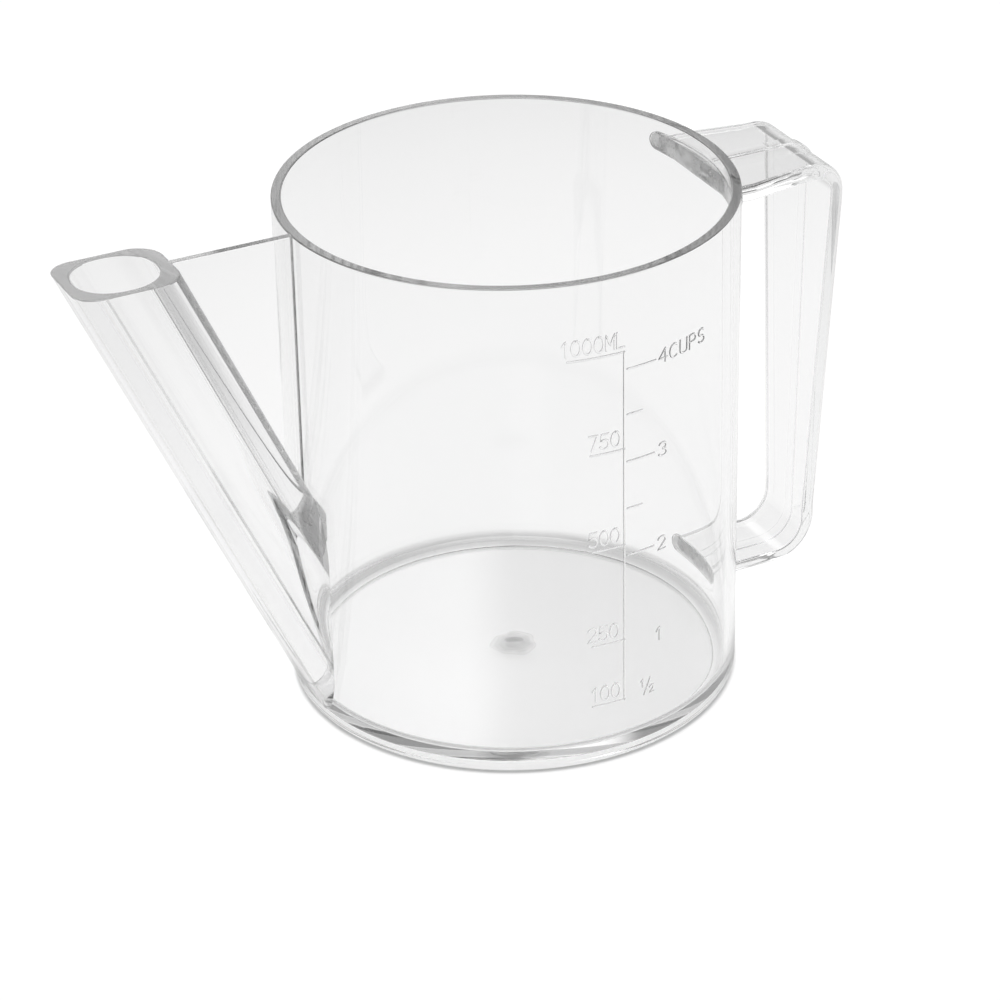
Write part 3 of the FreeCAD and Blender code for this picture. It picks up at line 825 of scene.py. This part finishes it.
def put(tree, kind, settings=None, **links):
    """A shader node with its inputs set by name, and others fed from the outputs given."""
    node = tree.nodes.new("ShaderNode" + kind)
    for name, value in (settings or {}).items():
        node.inputs[name].default_value = value
    for name, output in links.items():
        tree.links.new(output, node.inputs[name.replace("_", " ")])
    return node


def maths(tree, operation, first, second):
    """The result of a sum on two values, each a number or the output of a node."""
    node = tree.nodes.new("ShaderNodeMath")
    node.operation = operation
    for socket, value in zip(node.inputs, (first, second)):
        if isinstance(value, (int, float)):
            socket.default_value = value
        else:
            tree.links.new(value, socket)
    return node.outputs[0]


def eased(tree, value, places, levels):
    """A value turned into a level that eases from one to another between two places."""
    level = put(tree, "MapRange", {"From Min": places[0], "From Max": places[1],
                                   "To Min": levels[0], "To Max": levels[1]}, Value=value)
    level.interpolation_type = "SMOOTHSTEP"
    return level.outputs[0]


def graded(tree, value, *stops):
    """A value turned into greys: each stop is (place, grey)."""
    ramp = put(tree, "ValToRGB", Fac=value)
    for element, (place, level) in zip(ramp.color_ramp.elements, stops):
        element.position = place
        element.color = grey(level)
    return ramp.outputs["Color"]


def grey(level):
    """An opaque grey."""
    return (level, level, level, 1.0)


def clear_plastic(name, roughness, clear_share):
    """Clear moulded plastic with the mould's faint ripples; it takes little light from a shadow."""
    material = bpy.data.materials.new(name)
    tree = emptied(material)
    place = put(tree, "TexCoord").outputs["Object"]
    ripple = put(tree, "TexNoise", {"Scale": RIPPLE_SCALE, "Detail": RIPPLE_DETAIL},
                 Vector=place).outputs[0]
    relief = put(tree, "Bump", {"Strength": RIPPLE_STRENGTH, "Distance": RIPPLE_DEPTH},
                 Height=ripple)
    tint = graded(tree, ripple, *RIPPLE_TINTS)
    body = put(tree, "BsdfPrincipled", {"Roughness": roughness, "IOR": PLASTIC_IOR,
                                        "Transmission Weight": clear_share},
               Base_Color=tint, Normal=relief.outputs[0])
    passing = put(tree, "BsdfTransparent", {"Color": grey(SHADOW_SHARE)})
    mix = put(tree, "MixShader", Fac=put(tree, "LightPath").outputs["Is Shadow Ray"])
    tree.links.new(body.outputs[0], mix.inputs[1])
    tree.links.new(passing.outputs[0], mix.inputs[2])
    inside = put(tree, "VolumeAbsorption", {"Color": grey(0.0), "Density": PLASTIC_DENSITY})
    put(tree, "OutputMaterial", Surface=mix.outputs[0], Volume=inside.outputs[0])
    return material


def grey_mottle(name, dark, pale, cover):
    """A mottled grey film that covers part of what lies behind it."""
    material = bpy.data.materials.new(name)
    tree = emptied(material)
    place = put(tree, "TexCoord").outputs["Object"]
    grain = put(tree, "TexNoise", {"Scale": GRAIN_SCALE, "Detail": GRAIN_DETAIL,
                                   "Roughness": GRAIN_ROUGHNESS}, Vector=place)
    tint = graded(tree, grain.outputs[0], (GRAIN_DARK_AT, dark), (GRAIN_PALE_AT, pale))
    body = put(tree, "BsdfPrincipled", {"Roughness": FILM_ROUGHNESS, "Alpha": cover},
               Base_Color=tint)
    put(tree, "OutputMaterial", Surface=body.outputs[0])
    return material


# ---------------------------------------------------------------- studio

# Places, reaches and distances in the studio are metres.
FLOOR_REACH = 3.0
FLOOR_GREY = 0.35
FLOOR_GLOW = 0.80
# Painted into the floor's glow for glossy and transmission rays: a pool of light round POOL_MIDDLE,
# painted shade under the cup, and more painted shade under the foot ring and just outside it.
POOL_MIDDLE = (0.10, 0.02)
POOL_NEAR, POOL_FAR = 0.12, 0.60
POOL_BRIGHT, POOL_DARK = 0.71, 0.40
CUP_SHADE, FOOT_SHADE = 0.12, 0.38
RING_START, RING_STOP, SHADE_REACH = -0.001, 0.003, 0.007
# A painted contact shadow round the foot, in the glow of the floor seen straight from the camera.
CONTACT_SHADE, CONTACT_START, CONTACT_STOP = 0.65, -0.0012, 0.0007

SURROUND_BACK, SURROUND_FRONT = 0.40, 0.25
FRONT_SIDE = (-0.44, -0.898, 0.0)
FRONT_START, FRONT_FULL = -0.3, 0.5
TOP_SIDE = (0.0, 0.0, 1.0)
TOP_START, TOP_FULL, TOP_DIM = 0.55, 0.8, 0.24
PANEL_SIDE = (-0.898, 0.44, 0.0)
PANEL_START, PANEL_FULL = -0.01, 0.02
PANEL_FADE, PANEL_END = 0.25, 0.40
PANEL_GREY = 1.0

LAMP_PLACE, LAMP_SIZE, LAMP_POWER = (0.2, 0.1, 1.5), 1.0, 8.0

CAMERA_RIGHT = (0.893766, -0.448222, -0.016712)
CAMERA_FORWARD = (0.384238, 0.784338, -0.487007)
CAMERA_PLACE = (-0.36513, -0.738784, 0.504492)
CAMERA_LENS = 135.32
CAMERA_SENSOR = 36.0

LIGHT_BOUNCES, SEE_THROUGH_BOUNCES = 64, 32


def eased_by_distance(tree, place, middle, distances, levels):
    """A level that eases from one to another between two distances from a place on the floor."""
    away = put(tree, "VectorMath")
    away.operation = "DISTANCE"
    away.inputs[1].default_value = (middle[0], middle[1], 0.0)
    tree.links.new(place, away.inputs[0])
    return eased(tree, away.outputs["Value"], distances, levels)


def make_floor():
    """A white floor with a painted contact shadow where it touches the foot.

    Plastic shows a painted pool of light on it, bright near the object and dimmer far from it, with
    painted shade under the cup and more so under the foot ring and just outside it.
    """
    mesh = bpy.data.meshes.new("floor")
    reach = FLOOR_REACH
    corners = [(-reach, -reach, 0), (reach, -reach, 0), (reach, reach, 0), (-reach, reach, 0)]
    mesh.from_pydata(corners, [], [(0, 1, 2, 3)])
    floor = bpy.data.objects.new("floor", mesh)
    bpy.context.scene.collection.objects.link(floor)
    material = bpy.data.materials.new("white_floor")
    mesh.materials.append(material)
    tree = emptied(material)
    place = put(tree, "TexCoord").outputs["Object"]
    # Painted pool of light, then painted shade under the cup and the foot ring; only glossy and
    # transmission rays see it.
    painted_pool = eased_by_distance(tree, place, (AXIS[0] + POOL_MIDDLE[0], POOL_MIDDLE[1]),
                             (POOL_NEAR, POOL_FAR), (POOL_BRIGHT, POOL_DARK))
    inside, outside = (BODY_RADIUS - FOOT_RING_WIDTH) / MM, BODY_RADIUS / MM
    for distances, levels in (
            ((inside + RING_START, inside + RING_STOP), (-CUP_SHADE, -FOOT_SHADE)),
            ((outside, outside + SHADE_REACH), (0.0, FOOT_SHADE))):
        painted_pool = maths(tree, "ADD", painted_pool, eased_by_distance(tree, place, AXIS, distances, levels))
    # Painted contact shadow: the camera's glow is lower within a narrow ring round the foot.
    painted_contact_shadow = eased_by_distance(tree, place, AXIS,
                                (outside + CONTACT_START, outside + CONTACT_STOP),
                                (FLOOR_GLOW - CONTACT_SHADE, FLOOR_GLOW))
    ray = put(tree, "LightPath").outputs
    through = maths(tree, "MAXIMUM", ray["Is Glossy Ray"], ray["Is Transmission Ray"])
    through = maths(tree, "MULTIPLY", through, painted_pool)
    direct = maths(tree, "MULTIPLY", ray["Is Camera Ray"], painted_contact_shadow)
    paint = put(tree, "BsdfDiffuse", {"Color": grey(FLOOR_GREY)})
    glow = put(tree, "Emission", Strength=maths(tree, "ADD", through, direct))
    both = put(tree, "AddShader")
    tree.links.new(paint.outputs[0], both.inputs[0])
    tree.links.new(glow.outputs[0], both.inputs[1])
    put(tree, "OutputMaterial", Surface=both.outputs[0])


def make_surround():
    """Even light, dimmer in front and overhead, with a bright panel behind on the left.

    The share of a direction along FRONT_SIDE or TOP_SIDE sets how dim it is. The panel stands
    between PANEL_START and PANEL_END of the share along PANEL_SIDE. Past the floor's edge the
    camera sees white.
    """
    world = bpy.data.worlds.new("studio")
    bpy.context.scene.world = world
    tree = emptied(world)
    direction = put(tree, "TexCoord").outputs["Generated"]
    level = SURROUND_BACK
    for side, places, change in (
            (FRONT_SIDE, (FRONT_START, FRONT_FULL), SURROUND_FRONT - SURROUND_BACK),
            (TOP_SIDE, (TOP_START, TOP_FULL), -TOP_DIM),
            (PANEL_SIDE, (PANEL_START, PANEL_FULL), PANEL_GREY),
            (PANEL_SIDE, (PANEL_FADE, PANEL_END), -PANEL_GREY)):
        share = put(tree, "VectorMath")
        share.operation = "DOT_PRODUCT"
        share.inputs[1].default_value = side
        tree.links.new(direction, share.inputs[0])
        step = eased(tree, share.outputs["Value"], places, (0.0, change))
        level = maths(tree, "ADD", level, step)
    level = maths(tree, "MAXIMUM", level, put(tree, "LightPath").outputs["Is Camera Ray"])
    even = put(tree, "Background", {"Color": grey(1.0)}, Strength=level)
    put(tree, "OutputWorld", Surface=even.outputs[0])


def make_lamp():
    """A square lamp overhead, aimed at the middle of the beaker."""
    data = bpy.data.lights.new("lamp_top", "AREA")
    data.shape = "SQUARE"
    data.size = LAMP_SIZE
    data.energy = LAMP_POWER
    lamp = bpy.data.objects.new("lamp_top", data)
    lamp.location = LAMP_PLACE
    aim = Vector((AXIS[0], 0.0, BODY_HEIGHT / 2 / MM)) - Vector(LAMP_PLACE)
    lamp.rotation_euler = aim.to_track_quat("-Z", "Y").to_euler()
    bpy.context.scene.collection.objects.link(lamp)


def set_camera():
    """Looks down on the spout, the scale and the handle from the front left."""
    forward = Vector(CAMERA_FORWARD).normalized()
    right = Vector(CAMERA_RIGHT).normalized()
    up = right.cross(forward)
    camera = bpy.data.objects.new("camera", bpy.data.cameras.new("camera"))
    camera.data.lens = CAMERA_LENS
    camera.data.sensor_width = CAMERA_SENSOR
    turn = Matrix((right, up, -forward)).transposed().to_4x4()
    camera.matrix_world = Matrix.Translation(Vector(CAMERA_PLACE) + Vector(AXIS)) @ turn
    bpy.context.scene.collection.objects.link(camera)
    bpy.context.scene.camera = camera


def set_view():
    """Plain colours, and light enough bounces for rays that cross many walls of clear plastic."""
    scene = bpy.context.scene
    scene.view_settings.view_transform = "Standard"
    scene.cycles.max_bounces = LIGHT_BOUNCES
    scene.cycles.glossy_bounces = LIGHT_BOUNCES
    scene.cycles.transmission_bounces = LIGHT_BOUNCES
    scene.cycles.transparent_max_bounces = SEE_THROUGH_BOUNCES


# ---------------------------------------------------------------- pieces

FACES_UP = 0.3
MOUTH_END = (BORE_RADIUS + UPPER_WALL) / math.cos(SPOUT_TILT) - BORE_AXIS_AT_RIM


def dull_top(piece, material, end):
    """Give the upward faces at rim level another finish, from the spout's side up to this X."""
    mesh = piece.data
    mesh.materials.append(material)
    count = len(mesh.polygons)
    centre, normal = np.empty(3 * count), np.empty(3 * count)
    mesh.polygons.foreach_get("center", centre)
    mesh.polygons.foreach_get("normal", normal)
    x = (centre[0::3] - AXIS[0]) * MM
    top = (centre[2::3] > (BODY_HEIGHT - RIM_ROUND) / MM) & (normal[2::3] > FACES_UP) & (x < end)
    mesh.polygons.foreach_set("material_index", top.astype(np.int32))
    mesh.update()


plastic = clear_plastic("clear_plastic", roughness=0.0, clear_share=1.0)
sawn = clear_plastic("sawn_mouth", SAWN_ROUGHNESS, SAWN_CLEAR)
worn = clear_plastic("worn_rim", RIM_ROUGHNESS, clear_share=1.0)
cement = grey_mottle("dried_cement", CEMENT_DARK, CEMENT_PALE, CEMENT_COVER)
haze = grey_mottle("flow_haze", HAZE_DARK, HAZE_PALE, HAZE_COVER)

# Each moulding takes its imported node's place; its top may have a finish of its own, up to some X.
MOULDINGS = (
    ("beaker", make_beaker, (worn, BODY_RADIUS)),
    ("pouring_spout", make_spout, (sawn, MOUTH_END)),
    ("handle", make_handle, None),
)
DETAILS = (
    ("beaker", make_scale, plastic),
    ("beaker", make_gate, haze),
    ("handle", make_upper_bond, cement),
    ("handle", make_lower_bond, cement),
    ("pouring_spout", make_foot_bond, cement),
    ("pouring_spout", make_web_bond, cement),
)


def fit(piece, material):
    """Dress a piece and tie it to the part's one body."""
    piece.data.materials.clear()
    piece.data.materials.append(material)
    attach(piece, "root")


for node, make, top in MOULDINGS:
    piece = make()
    fit(piece, plastic)
    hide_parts(node)
    if top:
        dull_top(piece, *top)

for node, make, material in DETAILS:
    fit(make(), material)

make_floor()
make_surround()
make_lamp()
set_camera()
set_view()
